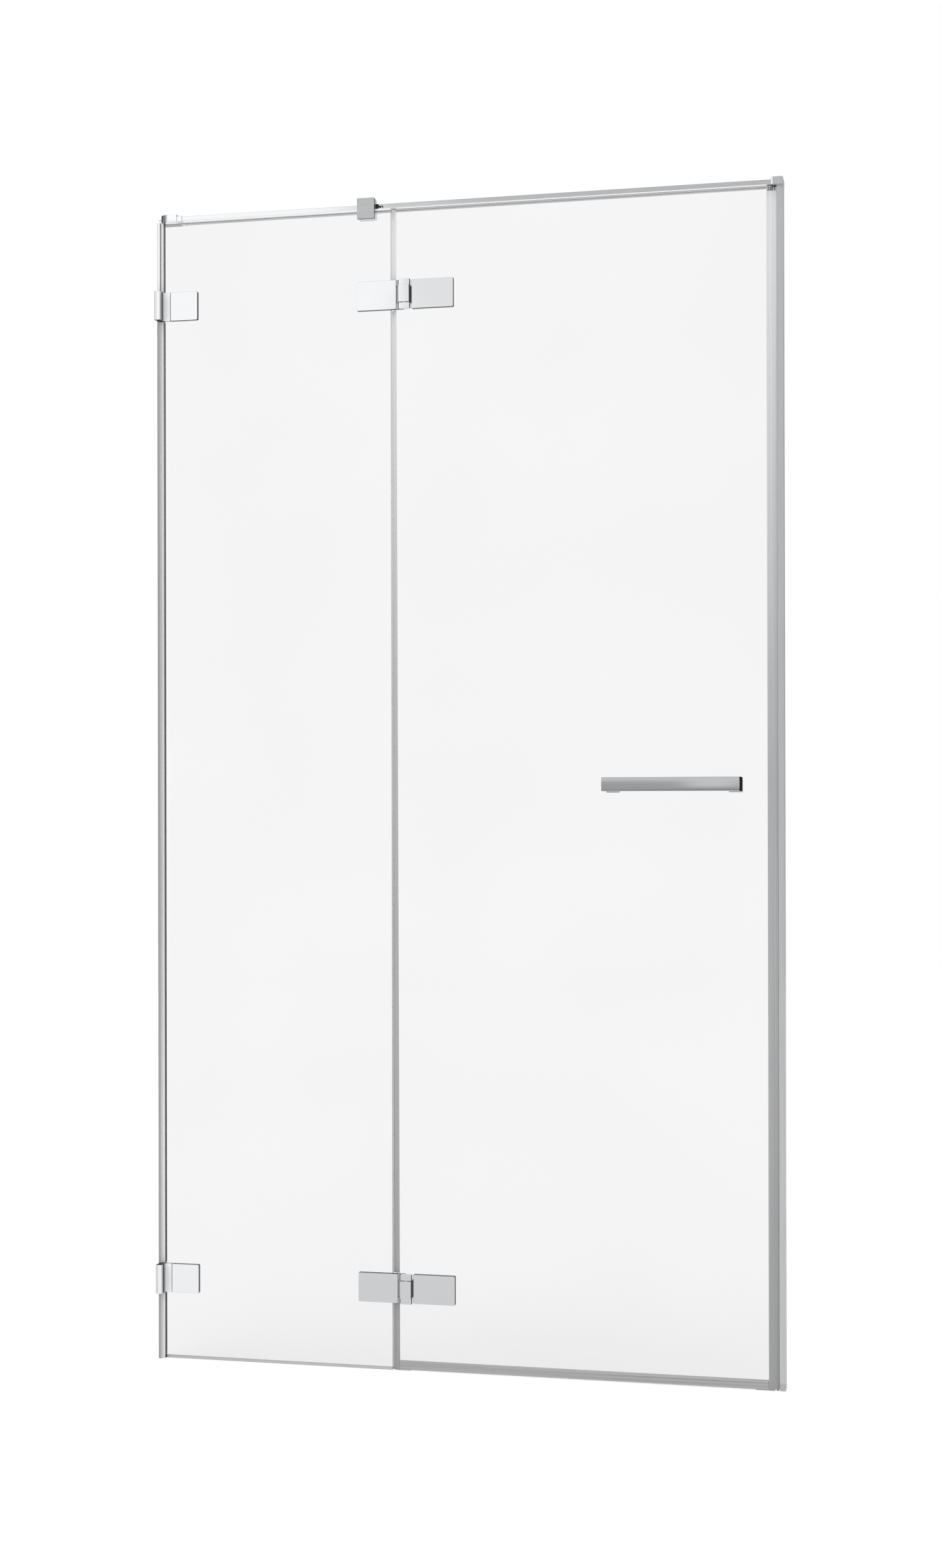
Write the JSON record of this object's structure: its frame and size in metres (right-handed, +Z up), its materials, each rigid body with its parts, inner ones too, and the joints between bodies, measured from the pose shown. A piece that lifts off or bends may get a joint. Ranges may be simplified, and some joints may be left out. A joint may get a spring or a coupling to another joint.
{
  "type": "shower door",
  "caption": "Hinged glass shower door for a niche: fixed side panel, outward-swinging door, flat stabiliser bar, wall brackets, bar handle and clear seals.",
  "frame": {"origin": "on the left wall plane, at floor level, in the middle plane of the glass", "axes": "+X along the door from the left wall to the right wall, -Y is the outside of the shower, +Z up"},
  "size_m": [1.085, 0.086, 2],
  "materials": {
    "clear_glass": "clear toughened safety glass, 8 mm, with ground edges",
    "polished_chrome": "polished chrome plate on brass",
    "bright_aluminium": "bright anodised extrusion, faint lengthwise lines",
    "clear_pvc": "clear extruded PVC with lengthwise streaks",
    "black_rubber": "matt black rubber pad",
    "white_nylon": "turned nylon",
    "grey_plastic": "moulded grey plastic",
    "magnet_strip": "dark plastic-bonded magnet strip",
    "stainless_steel": "stainless steel fastener"
  },
  "bodies": {
    "fixed_panel": {"fixed_glass": "clear_glass", "wall_gasket": "clear_pvc", "fixed_bottom_seal": "clear_pvc", "upper_bracket_body": "polished_chrome", "lower_bracket_body": "polished_chrome", "upper_bracket_cover": "polished_chrome", "lower_bracket_cover": "polished_chrome", "bracket_pads": "clear_pvc", "bracket_sleeves": "white_nylon", "bracket_screws": "stainless_steel", "stabiliser_bar": "polished_chrome", "left_bar_fitting": "polished_chrome", "left_bar_collar": "polished_chrome", "left_bar_stud": "stainless_steel", "right_bar_fitting": "polished_chrome", "bar_grub_screws": "stainless_steel", "bar_stop": "black_rubber", "clamp_block": "polished_chrome", "clamp_back_plate": "polished_chrome", "clamp_pads": "black_rubber", "clamp_screw": "stainless_steel", "wall_profile": "bright_aluminium", "strike_profile": "bright_aluminium", "strike_magnet": "magnet_strip", "profile_foot_cap": "grey_plastic", "profile_screws": "stainless_steel", "upper_hinge_fixed_leaf": "polished_chrome", "lower_hinge_fixed_leaf": "polished_chrome", "hinge_fixed_back_plates": "polished_chrome", "hinge_fixed_pads": "clear_pvc", "hinge_fixed_sleeves": "white_nylon", "hinge_fixed_screws": "stainless_steel", "hinge_pins": "stainless_steel", "hinge_washers": "white_nylon"},
    "door": {"door_glass": "clear_glass", "upper_hinge_door_leaf": "polished_chrome", "lower_hinge_door_leaf": "polished_chrome", "hinge_door_back_plates": "polished_chrome", "hinge_door_pads": "clear_pvc", "hinge_door_sleeves": "white_nylon", "hinge_door_screws": "stainless_steel", "hinge_bushes": "white_nylon", "mid_seal": "clear_pvc", "magnetic_seal": "clear_pvc", "door_magnet": "magnet_strip", "drip_seal": "clear_pvc", "drip_seal_corners": "clear_pvc", "handle_grip": "polished_chrome", "handle_rosettes": "polished_chrome", "handle_sleeves": "white_nylon", "handle_screws": "stainless_steel", "handle_inner_caps": "polished_chrome"}
  },
  "joints": [
    {"name": "door_swing", "type": "hinge", "parent": "fixed_panel", "child": "door", "pos_m": [0.44565, -0.0142, 1], "axis": [0, 0, -1], "range_deg": [0, 90]}
  ]
}
